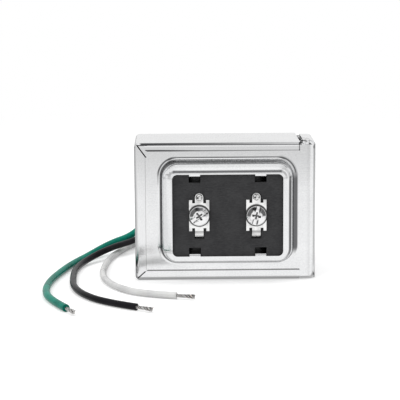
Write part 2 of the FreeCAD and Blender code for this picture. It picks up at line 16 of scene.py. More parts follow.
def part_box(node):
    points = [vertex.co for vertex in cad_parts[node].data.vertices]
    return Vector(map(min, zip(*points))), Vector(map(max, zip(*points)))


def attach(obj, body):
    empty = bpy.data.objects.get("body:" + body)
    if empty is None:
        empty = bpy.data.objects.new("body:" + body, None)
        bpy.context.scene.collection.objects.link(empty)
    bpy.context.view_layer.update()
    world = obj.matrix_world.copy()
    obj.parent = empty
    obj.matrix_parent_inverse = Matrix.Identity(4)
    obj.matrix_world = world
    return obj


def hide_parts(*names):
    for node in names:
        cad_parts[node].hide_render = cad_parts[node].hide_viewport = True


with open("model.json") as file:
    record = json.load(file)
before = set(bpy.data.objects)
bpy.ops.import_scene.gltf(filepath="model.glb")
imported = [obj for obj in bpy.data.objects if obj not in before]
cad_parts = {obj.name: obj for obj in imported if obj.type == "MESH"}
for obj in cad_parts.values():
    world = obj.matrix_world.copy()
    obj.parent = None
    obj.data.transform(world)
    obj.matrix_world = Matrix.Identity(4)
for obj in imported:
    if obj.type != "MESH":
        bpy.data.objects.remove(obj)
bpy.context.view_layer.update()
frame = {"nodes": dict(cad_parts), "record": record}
mm = 0.001
print("solids loaded:", len(frame["nodes"]))

# %% [markdown]
# The camera
# The portrait looks at the terminals from a little above, through a long lens, so that the case hardly
# tapers. The place and the three angles were found by laying the case's corners over the photograph. The
# lens follows from its focal length in pixels.

# %% Camera
picture_px = 400
focal_px = 1671.5
film_width = 36
nearest = 0.01
eye = Vector((-16.3, -607.2, 126.85)) * mm
look_right = math.radians(0.71)
look_down = math.radians(9.47)
lean = math.radians(-0.35)


def put_in_scene(name, data):
    """A new object at the origin, linked to the scene."""
    made = bpy.data.objects.new(name, data)
    bpy.context.scene.collection.objects.link(made)
    return made


camera_data = bpy.data.cameras.new("portrait")
camera_data.sensor_width = film_width
camera_data.lens = film_width * focal_px / picture_px
camera_data.clip_start = nearest
camera = put_in_scene("portrait", camera_data)
aimed = Matrix.Rotation(-look_right, 4, "Z") @ Matrix.Rotation(math.pi / 2 - look_down, 4, "X")
camera.matrix_world = Matrix.Translation(eye) @ aimed @ Matrix.Rotation(lean, 4, "Z")
bpy.context.scene.camera = camera
print("lens:", round(camera_data.lens, 1), "mm")

# %% [markdown]
# The leads' routes
# Three leads leave the hub behind the case, drop to the table and come forward on the left: green for
# earth, black and white for the mains. The part in view was laid over the photograph on the table's plane,
# and the rest is an easy way from the hub. A route is a list of places in millimetres.

# %% Routes
routes = {
    "green": [
        (0.6, 20.5, 29.05), (0.6, 38.5, 29.05), (-10.0, 51.3, 21.35), (-26.0, 47.5, 13.35),
        (-34.0, 37.4, 5.75), (-43.2, 26.4, 4.55), (-51.4, 16.2, 1.6), (-56.6, 2.2, 1.35),
        (-59.9, -12.4, 1.35), (-62.5, -27.2, 1.35), (-63.0, -42.0, 1.35), (-60.4, -56.4, 1.35),
        (-54.0, -69.2, 1.35),
    ],
    "black": [
        (-1.9, 22.5, 23.25), (-1.9, 38.0, 23.25), (-10.5, 47.0, 13.85), (-24.0, 44.5, 7.15),
        (-33.6, 31.8, 4.55), (-43.2, 17.8, 4.35), (-52.0, 7.2, 1.6), (-54.8, -7.0, 1.25),
        (-54.6, -21.8, 1.25), (-53.6, -36.2, 1.25), (-49.4, -49.0, 1.25), (-41.6, -60.4, 1.25),
        (-30.8, -68.0, 1.25),
    ],
    "white": [
        (3.1, 22.5, 23.25), (3.1, 37.5, 23.25), (-3.0, 47.5, 13.35), (-15.5, 49.5, 4.85),
        (-27.4, 48.0, 1.8), (-35.2, 39.2, 1.4), (-39.4, 27.2, 1.25), (-42.8, 14.4, 1.25),
        (-44.0, 1.0, 1.25), (-44.6, -12.6, 1.25), (-43.0, -25.8, 1.25), (-38.0, -38.2, 1.25),
        (-29.8, -48.0, 1.25), (-17.6, -51.6, 1.25),
    ],
}
print("places on the routes:", {colour: len(places) for colour, places in routes.items()})

# %% [markdown]
# The leads
# A lead is a limp tube, so it could be swept along short straight runs, but that looks like bent wire. One
# smooth curve with the route's places as its control points bends as a real lead does, and its bevel gives
# it a round section.

# %% Leads
lead_diameter = {"green": 2.6 * mm, "black": 2.4 * mm, "white": 2.4 * mm}
section_steps = 7
run_steps = 10
bend_order = 3


def lead_curve(colour):
    """A lead's insulation: one smooth open curve with a round bevel."""
    curve = bpy.data.curves.new(colour + "_lead_skin", "CURVE")
    curve.dimensions = "3D"
    curve.bevel_depth = lead_diameter[colour] / 2
    curve.bevel_resolution = section_steps
    curve.resolution_u = run_steps
    curve.use_fill_caps = True
    spline = curve.splines.new("NURBS")
    spline.points.add(len(routes[colour]) - 1)
    for point, place in zip(spline.points, routes[colour]):
        point.co = (*(Vector(place) * mm), 1)
    spline.order_u = bend_order
    spline.use_endpoint_u = True
    return put_in_scene(colour + "_lead_skin", curve)


leads = {colour: lead_curve(colour) for colour in routes}

# %% [markdown]
# Shader maths in plain Python
# A finish is a small net of nodes. Linked by hand, such a net is hard to read, so one class wraps an
# output socket and gives it the operators that finishes use: a sum of two signals adds a Math node. Any
# other node comes from one method.


# %% Signals
class Signal:
    """One output socket of a node net, on which Python's operators add Math nodes."""

    def __init__(self, tree, socket=None):
        self.tree = tree
        self.socket = socket

    def node(self, kind, settings=None, sockets=None, output=0):
        """Adds a shader node: its settings first, then its sockets' values or links."""
        made = self.tree.nodes.new("ShaderNode" + kind)
        for name, value in (settings or {}).items():
            setattr(made, name, value)
        for name, value in (sockets or {}).items():
            if isinstance(value, Signal):
                self.tree.links.new(value.socket, made.inputs[name])
            else:
                made.inputs[name].default_value = value
        return Signal(self.tree, made.outputs[output] if len(made.outputs) else None)

    def maths(self, operation, first, second):
        return self.node("Math", {"operation": operation}, {0: first, 1: second})

    def __add__(self, other):
        return self.maths("ADD", self, other)

    def __sub__(self, other):
        return self.maths("SUBTRACT", self, other)

    def __rsub__(self, other):
        return self.maths("SUBTRACT", other, self)

    def __mul__(self, other):
        return self.maths("MULTIPLY", self, other)

    def __pow__(self, other):
        return self.maths("POWER", self, other)

    __radd__ = __add__
    __rmul__ = __mul__

    def size(self):
        """The signal without its sign."""
        return self.maths("ABSOLUTE", self, 0.0)

    def most(self, other):
        return self.maths("MAXIMUM", self, other)

    def least(self, other):
        return self.maths("MINIMUM", self, other)

    def step(self, none, full):
        """0 up to none and 1 past full, with a smooth rise between. It falls where full is the lower."""
        sockets = {"Value": self, "From Min": none, "From Max": full}
        return self.node("MapRange", {"interpolation_type": "SMOOTHSTEP"}, sockets)

    def band(self, begins, full, fades, ends):
        """0 up to begins, 1 from full to fades, and 0 again past ends."""
        return self.step(begins, full) * self.step(ends, fades)

    def near(self, place, full, none):
        """1 within the distance full of a place, and 0 beyond the distance none."""
        return (self - place).size().step(none, full)

    def between(self, first, second):
        """A colour that goes from first to second as this signal goes from 0 to 1."""
        first, second = [c if isinstance(c, Signal) else (*c, 1) for c in (first, second)]
        return self.node("Mix", {"data_type": "RGBA"}, {0: self, 6: first, 7: second}, 2)


def net(owner):
    """An empty node net of a material or of the world."""
    owner.use_nodes = True
    owner.node_tree.nodes.clear()
    return Signal(owner.node_tree)


print("signals know:", [name for name in vars(Signal) if not name.startswith("__")])

# %% [markdown]
# The floor
# The part stands on a table that ends far outside the picture. A backdrop could curve up behind it, but the
# world is white there too, so one wide, flat face is enough. It belongs to the stage and not to the part.

# %% Floor
floor_reach = 6.0


def mesh_of(name, bm):
    """A mesh from bmesh, which is then let go."""
    mesh = bpy.data.meshes.new(name)
    bm.to_mesh(mesh)
    bm.free()
    return mesh


bm = bmesh.new()
bmesh.ops.create_grid(bm, x_segments=1, y_segments=1, size=floor_reach)
floor_mesh = mesh_of("floor", bm)
floor = put_in_scene("floor", floor_mesh)
print("floor:", 2 * floor_reach, "m wide")

# %% [markdown]
# White paper
# The photograph was lit softly and cut out on white. More light would make any floor white, but it would
# bleach the metal too. So the floor is pale paper that takes the lamps' light and keeps a faint shadow, and
# it glows for a camera ray only, up to plain white further out. A ray from a shiny surface finds it nearly
# white as well.

# %% Floor's paper
paper_tone = 0.8
camera_glow = 0.36
mirror_share = 0.84
white_beyond = (0.2, 0.5)


def grey(tone):
    """A colour without a hue."""
    return (tone, tone, tone)


def away(beside, upright):
    """How far a point lies from an axis, from its two distances at right angles."""
    return (beside * beside + upright * upright) ** 0.5


def parts(tree, place):
    """The three coordinates of a place, as signals."""
    return [tree.node("SeparateXYZ", sockets={0: place}, output=axis) for axis in "XYZ"]


floor_finish = bpy.data.materials.new("pale_floor")
floor_mesh.materials.append(floor_finish)
floor_net = net(floor_finish)
seen = floor_net.node("LightPath", output="Is Camera Ray")
mirrored = floor_net.node("LightPath", output="Is Glossy Ray")
aside, inward = parts(floor_net, floor_net.node("TexCoord", output="Object"))[:2]
paper = floor_net.node("BsdfDiffuse", sockets={"Color": (*grey(paper_tone), 1)})
glow = floor_net.node("Emission", sockets={"Strength": camera_glow})
bright_paper = floor_net.node("AddShader", sockets={0: paper, 1: glow})
lit = floor_net.node("MixShader", sockets={0: seen, 1: paper, 2: bright_paper})
white = floor_net.node("Emission", sockets={"Strength": 1.0})
white_share = mirrored * mirror_share + seen * away(aside, inward).step(*white_beyond)
white_floor = floor_net.node("MixShader", sockets={0: white_share, 1: lit, 2: white})
print("nodes of the paper:", len(floor_finish.node_tree.nodes))

# %% [markdown]
# Dim places for the metal
# A mirror in a white room is plain white. A photographer sets dark cards beside bright metal, so that it
# shows its bends. Here the cards lie on the floor, for a shiny surface's rays only: the table's two ends, a
# place on either side, and a strip along the case's foot.

# %% Floor's dim places
card_tone = 0.03
near_end, near_dim = (-0.19, -0.34), 0.3
rear_end, rear_dim = (0.06, 0.2), 0.32
left_edge, left_front, left_dim = (-0.05, -0.09), (-0.12, -0.03), 0.14
right_edge, right_front, right_dim = (0.035, 0.06), (-0.035, -0.005), 0.45
right_slant, right_back = 0.8, (-0.02, -0.05)
foot_front, foot_half, foot_dim = (-0.0245, -0.0225), (0.05, 0.035), 0.5

ends = inward.step(*near_end) * near_dim + inward.step(*rear_end) * rear_dim
left_card = aside.step(*left_edge) * inward.step(*left_front) * left_dim
right_card = aside.step(*right_edge) * inward.step(*right_front) * right_dim
right_card = right_card * (inward - aside * right_slant).step(*right_back)
foot_strip = inward.step(*foot_front) * aside.size().step(*foot_half) * foot_dim
dim = (ends + left_card + right_card + foot_strip) * mirrored
card = floor_net.node("BsdfDiffuse", sockets={"Color": (*grey(card_tone), 1)})
floor_top = floor_net.node("MixShader", sockets={0: dim, 1: white_floor, 2: card})
floor_net.node("OutputMaterial", sockets={"Surface": floor_top})
print("nodes with the cards:", len(floor_finish.node_tree.nodes))

# %% [markdown]
# The world
# Round the table stands a plain studio: white overhead, pale behind and at the table's height, and straight
# ahead a dim doorway that draws the dark lines along the pocket's rounded edge. Only a shiny surface sees
# it. A camera ray finds white, and all else gets an even grey light.

# %% World
overhead_from = (0.74, 0.86)
doorway_from, doorway_half = (0.4, 0.54), (0.55, 0.35)
backdrop_from = (-0.3, 0.1)
doorway_colour = (0.17, 0.17, 0.175)
table_tone, backdrop_tone, even_tone = 0.9, 0.86, 0.5

world = bpy.data.worlds.new("studio")
bpy.context.scene.world = world
sky = net(world)
camera_ray = sky.node("LightPath", output="Is Camera Ray")
glossy_ray = sky.node("LightPath", output="Is Glossy Ray")
across, behind, height = parts(sky, sky.node("TexCoord", output="Generated"))
doorway = height.step(*doorway_from) * across.size().step(*doorway_half)
ahead_colour = height.step(*overhead_from).between(doorway_colour, grey(1.0))
front = doorway.between(grey(table_tone), ahead_colour)
studio = behind.step(*backdrop_from).between(front, grey(backdrop_tone))
soft = glossy_ray.between(grey(even_tone), studio)
sky_colour = camera_ray.between(soft, grey(1.0))
light = sky.node("Background", sockets={"Color": sky_colour, "Strength": 1.0})
sky.node("OutputWorld", sockets={"Surface": light})
print("nodes of the world:", len(world.node_tree.nodes))

# %% [markdown]
# The lamps
# Two soft boxes, one on the left and one overhead, give the shadow its side and its soft edge. Shiny
# surfaces don't see them, because the studio already holds all that the metal should mirror.

# %% Lamps
lamp_aim = Vector((0, 0, 0.02))


def lamp(name, place, size, power):
    """A square soft box that points from its place to the part."""
    box = bpy.data.lights.new(name, "AREA")
    box.size = size
    box.energy = power
    stand = put_in_scene(name, box)
    stand.visible_glossy = False
    pointing = (lamp_aim - Vector(place)).to_track_quat("-Z", "Y").to_matrix().to_4x4()
    stand.matrix_world = Matrix.Translation(place) @ pointing


lamp("soft_box_left", (-0.7, -0.6, 0.9), 0.8, 6)
lamp("soft_box_top", (0.2, 0.1, 1.2), 1.0, 6)
bpy.context.scene.view_settings.view_transform = "Standard"
print("lamps:", len(bpy.data.lights))

# %% [markdown]
# One skin for all finishes
# Every surface here is one principled shader whose colour and roughness vary from place to place, as
# plating, moulding and handling make them vary. One helper lays a noise over the object's own coordinates,
# stretched where a finish has a grain. A second shows the shader, with a low bump for the light to find. A
# third makes the material.


# %% Skins
def noise(tree, scale, stretch=(1, 1, 1), detail=3.0):
    """A noise over the object's own coordinates, in metres, finer along the stretched axes."""
    place = tree.node("TexCoord", output="Object")
    placed = tree.node("Mapping", sockets={"Vector": place, "Scale": stretch})
    return tree.node("TexNoise", sockets={"Vector": placed, "Scale": scale, "Detail": detail})


def surface(tree, colour, roughness, relief=None, metallic=0.0, shine=0.5):
    """Shows a principled shader, with a bump if a relief gives its depth and its wave."""
    sockets = {"Base Color": colour, "Roughness": roughness, "Metallic": metallic}
    sockets["Specular IOR Level"] = shine
    if relief:
        depth, wave = relief
        sockets["Normal"] = tree.node("Bump", sockets={"Height": wave, "Distance": depth, "Strength": 1.0})
    shader = tree.node("BsdfPrincipled", sockets=sockets)
    tree.node("OutputMaterial", sockets={"Surface": shader})


def skin(name, paint):
    """A material from a function that paints its net."""
    made = bpy.data.materials.new(name)
    paint(net(made))
    print("finish:", name, "with", len(made.node_tree.nodes), "nodes")
    return made


# %% [markdown]
# Zinc sheet
# The case is cold-rolled sheet with bright zinc on it: nearly a mirror, a little cloudy, with the faint
# straight grain of the rolls. A photograph of such sheet could be wrapped round the case, but a stretched
# noise does the same at any distance: it changes the roughness along the grain and barely moves the normal.
# A mask of painted shade and painted dark reflection, which each piece brings along, darkens its colour.


# %% Zinc sheet
def zinc_sheet(tree, shade):
    """Bright zinc, darkened by painted shade where the shade is 1."""
    cloud = noise(tree, 70.0, detail=4.0)
    grain = noise(tree, 140.0, stretch=(1, 12, 12), detail=5.0)
    dapple = noise(tree, 1900.0, stretch=(1, 0.2, 1.6), detail=4.0)
    haze = cloud.step(0.3, 0.75)
    tone = haze * 0.35 + dapple.step(0.28, 0.72) * 0.65
    plate = tone.between((0.95, 0.955, 0.96), (0.82, 0.825, 0.835))
    colour = shade.between(plate, (0.03, 0.03, 0.034))
    roughness = grain * 0.08 + haze * 0.06 + 0.07
    surface(tree, colour, roughness, (0.006 * mm, grain * 0.85 + dapple * 0.15), metallic=1.0)


print("zinc sheet: grain, cloud and dapple")

# %% [markdown]
# Where a point lies on the pocket
# The cover's front is drawn out into a pocket with a window, and the painted shade round the pocket follows
# the window's rounded outline. It could be painted on an unwrapped map, but the distance from that outline
# places it with a few sums: past a straight edge it is a difference, and past a corner a slanting way.


# %% Pocket's places
def in_mm(*values):
    """Millimetres, as metres."""
    return [value * mm for value in values]


mid_z = 24.8 * mm
pocket_x = 0.6 * mm
pocket_lift = 0.35 * mm
window_half = in_mm(19.5, 14.6)
window_corner = 1.8 * mm
flank_from = in_mm(-2, 1)
corner_from = in_mm(-2.5, 0.5)
upper_from = in_mm(8, 12)


def pocket_place(x, z):
    """The ways beside, above and out from the window, and masks of the flanks, corners and upper part."""
    beside = x - pocket_x
    rise = z - (mid_z + pocket_lift)
    out = beside.size() - window_half[0]
    over = rise.size() - (window_half[1] - pocket_lift)
    reach = away((out + window_corner).most(0), (over + window_corner).most(0)) - window_corner
    flank = out.step(*flank_from)
    return beside, rise, reach, flank, flank * over.step(*corner_from), rise.step(*upper_from)


print("window:", [round(2 * half / mm, 1) for half in window_half], "mm")

# %% [markdown]
# Painted shade on the flanks
# The pocket's steep sides show dark bands on the left, on the right and along the roof, and here they are
# painted into the zinc's colour as painted shade. Each is a band of the distance from the window, cut off
# where the real one ends.

# %% Painted shade on the flanks
flank_shade_dark = 0.85
side_soft = 1.0 * mm
left_band, left_ahead = in_mm(3.3, 3.9, 4.2, 5.0), in_mm(0.1, 0.6)
right_band = in_mm(3.4, 3.8, 5.4, 5.9)
right_stripe, stripe_dark = in_mm(2.5, 0.25, 0.65), 0.9
right_low, right_high, high_fade = in_mm(-16.5, -13.5), in_mm(11, 15), 0.7
roof_reach, roof_end = in_mm(3.2, 3.4), in_mm(20, 16)
roof_ahead = in_mm(2.35, 2.7, 4.1, 4.45)


# Painted shade: dark bands on the pocket's steep sides and roof, in the zinc's colour.
def painted_flank_shade(beside, rise, ahead, reach, flank, upper):
    left = reach.band(*left_band) * beside.step(0, -side_soft) * flank * ahead.step(*left_ahead)
    right = reach.band(*right_band).most(reach.near(*right_stripe) * stripe_dark)
    right = right * beside.step(0, side_soft) * flank * rise.step(*right_low)
    right = right * (1 - rise.step(*right_high) * high_fade)
    roof = reach.step(*roof_reach) * upper * beside.step(*roof_end) * ahead.band(*roof_ahead)
    return left.most(right).most(roof) * flank_shade_dark


# The bands are painted shade.
print("painted shade bands: left, right and roof,", flank_shade_dark, "dark")

# %% [markdown]
# Painted shade lines
# Fine lines of painted shade lie at the pocket's foot and on its crest. In the upper corners, where the
# sheet has too far to go, it puckers, and the puckers' shade is painted as well. The lines are narrow places
# of the same distance. The puckers are a noise that only the corners let through.

# %% Painted shade lines
upper_line, upper_dark, upper_corner = in_mm(5.0, 0.15, 0.45), 0.4, 0.45
lower_line, lower_dark, lower_from = in_mm(4.4, 0.15, 0.5), 0.4, in_mm(-10, -13)
crest_line, crest_dark = in_mm(1.3, 0.2, 0.5), 0.5
pucker_band, pucker_dark, pucker_share = in_mm(0.3, 1.0, 3.4, 4.2), 0.5, (0.5, 0.62)


# Painted shade: fine dark lines round the pocket, and the shade of the puckers in its upper corners.
def painted_shade_lines(tree, rise, reach, corner, upper):
    above = reach.near(*upper_line) * upper * (corner * upper_corner + upper_dark)
    below = reach.near(*lower_line) * rise.step(*lower_from) * lower_dark
    crest = reach.near(*crest_line) * corner * upper * crest_dark
    pucker_shade = noise(tree, 600.0, detail=2.0).step(*pucker_share) * corner * upper
    pucker_shade = pucker_shade * reach.band(*pucker_band) * pucker_dark
    return above.most(below).most(crest).most(pucker_shade)


# The lines and the puckers are painted shade.
print("painted shade lines: above, below and on the crest, with puckers")

# %% [markdown]
# The wrap cover
# One sheet makes the front, the right side and the rear. A band of painted shade runs along its bend on the
# right, and a dark noise of painted shade stands in for nicks at the ends of that bend and for dents in the
# flap over the torn corner. Real dents could be modelled, but they are smaller than the sheet is thick, so a
# dark noise in the right places is enough.

# %% Wrap cover
case_height = 49.6 * mm
plate_front = -20.36 * mm
bend_shade_line, bend_shade_dark = in_mm(30.3, 0.3, 1.8), 0.12
front_only = in_mm(-0.2, -0.05)
damage_shade_dark = 0.9
nick_side, nick_height, nick_front = in_mm(31.0, 31.6), in_mm(21.6, 23.2), in_mm(-1.8, -1.4)
nick_share = (0.42, 0.52)
dent_below, dent_side, dent_back = in_mm(0.5, 0.2), in_mm(31.0, 29.8), in_mm(-8, -11)
dent_share = (0.5, 0.56)


def axes(tree):
    """The object's own coordinates, as three signals in metres."""
    return parts(tree, tree.node("TexCoord", output="Object"))


def cover_zinc(tree):
    x, y, z = axes(tree)
    ahead = plate_front - y
    beside, rise, reach, flank, corner, upper = pocket_place(x, z)
    # Painted shade: the pocket's bands and lines, a band along the right bend, and the nicks and dents.
    flank_shade = painted_flank_shade(beside, rise, ahead, reach, flank, upper)
    pocket_shade = flank_shade.most(painted_shade_lines(tree, rise, reach, corner, upper))
    front_shade = (pocket_shade + x.near(*bend_shade_line) * bend_shade_dark) * ahead.step(*front_only)
    nick_shade = noise(tree, 1100.0, detail=2.0).step(*nick_share) * (z - mid_z).size().step(*nick_height)
    nick_shade = nick_shade * x.step(*nick_side) * ahead.step(*nick_front)
    dent_shade = noise(tree, 800.0, detail=2.0).step(*dent_share) * (case_height - z).step(*dent_below)
    dent_shade = dent_shade * x.step(*dent_side) * y.step(*dent_back)
    zinc_sheet(tree, front_shade.most(nick_shade.most(dent_shade) * damage_shade_dark))


finishes = {"case_zinc": skin("cover_zinc", cover_zinc)}

# %% [markdown]
# The crimped frame
# The frame's strip is sheared from plated sheet, folded round the cover and crimped. A lip is only one sheet
# thick and hardly throws a shadow at this size, so the finish paints dark shadow lines along the lips'
# edges, and painted shade on the folds.

# %% Crimped frame
case_half = 32.3 * mm
lip_left, lip_top, lip_bottom = in_mm(4.0, 3.05, 3.65)
lip_end = 26.3 * mm
line = 0.26 * mm
lip_side = lip_left - case_half
lip_dark, side_dark, end_dark = 0.9, 0.35, 0.7
upper_swell, swell_side, upper_fade = 1.7, in_mm(-5, -27), in_mm(70, -30)
lips_from, folds_from = in_mm(-0.1, 0), in_mm(-1.2, -0.6)
crease_band, crease_fade, crease_start = in_mm(0.05, 0.25, 0.8, 1.0), in_mm(60, -30), in_mm(-30.6, -29.6)
outer_fold, lower_fold = in_mm(1.4, 0.1), in_mm(1.3, 0.2)
crease_dark, outer_dark, fold_dark = 0.95, 0.5, 0.35


def lip_edge_shadows(x, z, below):
    """Painted shadow lines along the sheared edges of the front lips. The upper one is bolder towards the
    left.
    """
    bolder = (below - lip_top).size() - x.step(*swell_side) * line
    upper = bolder.step(upper_swell * line, line) * x.step(*upper_fade)
    lower = z.near(lip_bottom, line / 2, line)
    upright = z.step(lip_bottom, lip_bottom + line) * below.step(lip_top, lip_top + line)
    left = x.near(lip_side, line / 2, line) * upright
    end = x.near(lip_end, line / 2, line) * below.step(lip_top + line, lip_top)
    level = (upper + lower) * x.step(lip_side - line, lip_side)
    return level * lip_dark + left * side_dark + end * end_dark


def frame_zinc(tree):
    x, y, z = axes(tree)
    ahead = plate_front - y
    below = case_height - z
    # Painted shade on the folds, and painted shadow lines along the lips' edges.
    crease_shade = below.band(*crease_band) * x.step(*crease_fade) * x.step(*crease_start)
    left_fold_shade = (x + case_half).step(*outer_fold)
    fold_shade = crease_shade * crease_dark + left_fold_shade * outer_dark + z.step(*lower_fold) * fold_dark
    edges = lip_edge_shadows(x, z, below) * ahead.step(*lips_from)
    zinc_sheet(tree, edges + fold_shade * ahead.step(*folds_from))


frame_finish = skin("frame_zinc", frame_zinc)

# %% [markdown]
# Turned zinc
# The hub is turned from bar and plated. The tool leaves rings round its axis, which a noise shows that is
# stretched across the axis until only the way along it counts.


# %% Turned zinc
def turned_zinc(tree):
    rings = noise(tree, 2600.0, stretch=(0.02, 1, 0.02), detail=2.0)
    cloud = noise(tree, 160.0)
    colour = cloud.between((0.83, 0.835, 0.84), (0.74, 0.745, 0.76))
    surface(tree, colour, rings * 0.14 + 0.16, (0.006 * mm, rings), metallic=1.0)


finishes["hub_zinc"] = skin("turned_zinc", turned_zinc)

# %% [markdown]
# Terminal plates
# The plates are stamped brass with bright nickel, blotched by handling. The screw's head keeps the light off
# a ring round it, drawn as a painted shadow, and painted shade darkens the tongue where it leaves the plate.
# Its foot bends back to the dark board and would mirror it, so there the finish is more like dull tin than
# like a mirror.

# %% Terminal plates
screw_side = 10.05 * mm
head_radius = 3.4 * mm
head_ring, ring_dark = in_mm(0.75, 0.4), 0.95
tongue_root, root_dark = in_mm(5.3, 5.6, 5.6, 7.2), 0.55
tongue_foot, foot_dull = in_mm(6.6, 7.2), 0.9


def bright_nickel(tree):
    x, _, z = axes(tree)
    scratch = noise(tree, 900.0, stretch=(8, 1, 1), detail=4.0)
    blotch = noise(tree, 420.0, detail=3.0)
    past_head = away((x - pocket_x).size() - screw_side, z - mid_z) - head_radius
    drop = mid_z - z
    # Painted shadow in a ring round the head, and painted shade on the tongue's root.
    shade = past_head.step(*head_ring) * ring_dark + drop.band(*tongue_root) * root_dark
    plate = blotch.step(0.42, 0.7).between((0.98, 0.98, 0.975), grey(0.68))
    colour = shade.between(plate, grey(0.04))
    metallic = 1 - drop.step(*tongue_foot) * foot_dull
    surface(tree, colour, scratch * 0.12 + 0.08, (0.008 * mm, scratch * 0.5 + blotch * 0.5), metallic)


finishes["terminal_nickel"] = skin("bright_nickel", bright_nickel)

# %% [markdown]
# Solder
# Each lug holds the end of a winding in a drop of solder. It sets in lumps, which the bump gives, and the
# iron leaves a burnt pit on the left of each drop and a smear on the right.

# %% Solder
lug_up = 6.45 * mm
pit_beside, pit_size, pit_dark = -0.5 * mm, in_mm(0.5, 0.25), 0.95
smear_beside, smear_size, smear_dark = 0.85 * mm, in_mm(0.45, 0.15), 0.6


def tin_solder(tree):
    x, _, z = axes(tree)
    lumps = noise(tree, 900.0, detail=2.0)
    on_right = (x - pocket_x).step(-mm, mm)
    beside = x - (pocket_x - screw_side) - on_right * (2 * screw_side)
    upright = z - (mid_z + lug_up)
    pit = away(beside - pit_beside, upright).step(*pit_size) * pit_dark
    smear = away(beside - smear_beside, upright).step(*smear_size) * smear_dark
    tin = lumps.between(grey(0.72), (0.86, 0.86, 0.85))
    colour = pit.most(smear).between(tin, grey(0.03))
    surface(tree, colour, lumps * 0.2 + 0.12, (0.25 * mm, lumps), metallic=1.0)


finishes["solder"] = skin("tin_solder", tin_solder)

# %% [markdown]
# Plated screws
# The terminal screws are zinc-plated too. Painted shade darkens the drive and the slot's edges, and painted
# dark reflections lie as crescents on the upper sides of the dome. The two screws were left at different
# turns, so each has a finish of its own from one function.

# %% Plated screws
screw_turn = {"left": 35.0, "right": 78.0}
screw_sign = {"left": -1, "right": 1}
right_rim_share = {"left": 0.4, "right": 1.0}
head_front = -31.24 * mm
dome_ball = 6.0 * mm
slot_depth, slot_floor = in_mm(0.08, 0.2), in_mm(1.22, 1.1)
cross_depth, cross_reach, cross_dark = in_mm(1.27, 1.4), in_mm(2.5, 2.2), 0.9
slot_edge, slot_from, slot_share = in_mm(0.75, 0.14, 0.38), in_mm(1.2, 1.8), (0.36, 0.5)
rim_left, rim_left_low = in_mm(0.6, -0.8), in_mm(-0.6, 0.1)
rim_right, rim_right_low = in_mm(1.0, 1.8), in_mm(-0.4, 0.2)
rim_from, rim_ragged, head_shade_dark = in_mm(2.75, 3.05), 1.6 * mm, 0.88
head_edge = 0.2 * mm


# Painted shade in the drive: the slot's walls and the cross's deep part.
def drive_shade(radius, deep):
    under_dome = deep - radius * radius * (0.5 / dome_ball)
    walls = under_dome.step(*slot_depth) * deep.step(*slot_floor)
    walls = walls * radius.step(head_radius, head_radius - head_edge)
    return walls + deep.step(*cross_depth) * radius.step(*cross_reach) * cross_dark


# Painted dark reflections as crescents on the upper sides of the dome, and painted shade along the slot's
# edges.
def dome_and_slot_shade(side, stain, beside, upright, radius):
    turn = math.radians(screw_turn[side])
    left = beside.step(*rim_left) * upright.step(*rim_left_low)
    right = beside.step(*rim_right) * upright.step(*rim_right_low) * right_rim_share[side]
    rim = (left + right) * (radius + stain * rim_ragged).step(*rim_from)
    off_slot = (upright * math.cos(turn) - beside * math.sin(turn)).size()
    edges = off_slot.near(*slot_edge) * radius.step(*slot_from) * stain.step(*slot_share)
    return (rim + edges) * radius.step(head_radius, head_radius - head_edge) * head_shade_dark


def screw_plate(side):
    """A finish for the screw on one side."""
    def paint(tree):
        x, y, z = axes(tree)
        pits = noise(tree, 1800.0, detail=4.0)
        stain = noise(tree, 900.0, detail=3.0)
        beside = x - (pocket_x + screw_sign[side] * screw_side)
        upright = z - mid_z
        radius = away(beside, upright)
        # Painted shade and painted dark reflections on the head.
        screw_shade = drive_shade(radius, y - head_front).most(dome_and_slot_shade(side, stain, beside, upright, radius))
        plate = stain.step(0.5, 0.8).between((0.95, 0.95, 0.955), (0.6, 0.605, 0.62))
        colour = screw_shade.between(plate, (0.04, 0.04, 0.042))
        surface(tree, colour, pits * 0.1 + 0.06, (0.01 * mm, pits), metallic=1.0)
    return paint


screw_finish = {side: skin(side + "_screw_plate", screw_plate(side)) for side in screw_turn}
finishes["screw_zinc"] = screw_finish["right"]

# %% [markdown]
# The fibre board
# The board is vulcanised fibre: pressed cotton paper, dark grey and matt, with short hairs in it. The
# terminal plates stand close to it and keep the light off a narrow rim, which the finish draws as the
# distance from two upright bars: the plate, and the lug with the tongue.

# %% Fibre board
plate_half, strip_half = in_mm(3.3, 4.9), in_mm(1.5, 7.6)
strip_drop = 0.6 * mm
rim_width, rim_dark = in_mm(0.55, 0.1), 0.85


def fibre(tree):
    x, _, z = axes(tree)
    hairs = noise(tree, 900.0, stretch=(1, 1, 5), detail=6.0)
    cloud = noise(tree, 180.0)
    tone = hairs * 0.6 + cloud * 0.4
    beside = ((x - pocket_x).size() - screw_side).size()
    upright = z - mid_z
    plate = (beside - plate_half[0]).most(upright.size() - plate_half[1])
    strip = (beside - strip_half[0]).most((upright + strip_drop).size() - strip_half[1])
    rim = plate.least(strip).step(*rim_width) * rim_dark
    felt = tone.step(0.3, 0.7).between((0.026, 0.026, 0.028), (0.054, 0.054, 0.056))
    surface(tree, rim.between(felt, grey(0.006)), hairs * 0.2 + 0.55, (0.04 * mm, hairs), shine=0.3)


finishes["fibre_board"] = skin("fibre", fibre)

# %% [markdown]
# Core and coil
# Behind the board the core is a stack of thin sheets and the coil is wound in layers, so both carry fine
# lines. Each could be modelled, but little of them is in view, and a stretched noise gives the same lines.


# %% Core and coil
def laminated(tree):
    sheets = noise(tree, 1500.0, stretch=(0.02, 1, 0.02), detail=1.0)
    colour = sheets.step(0.4, 0.6).between((0.012, 0.012, 0.013), (0.03, 0.03, 0.032))
    surface(tree, colour, sheets * 0.25 + 0.6, (0.05 * mm, sheets), metallic=0.3)


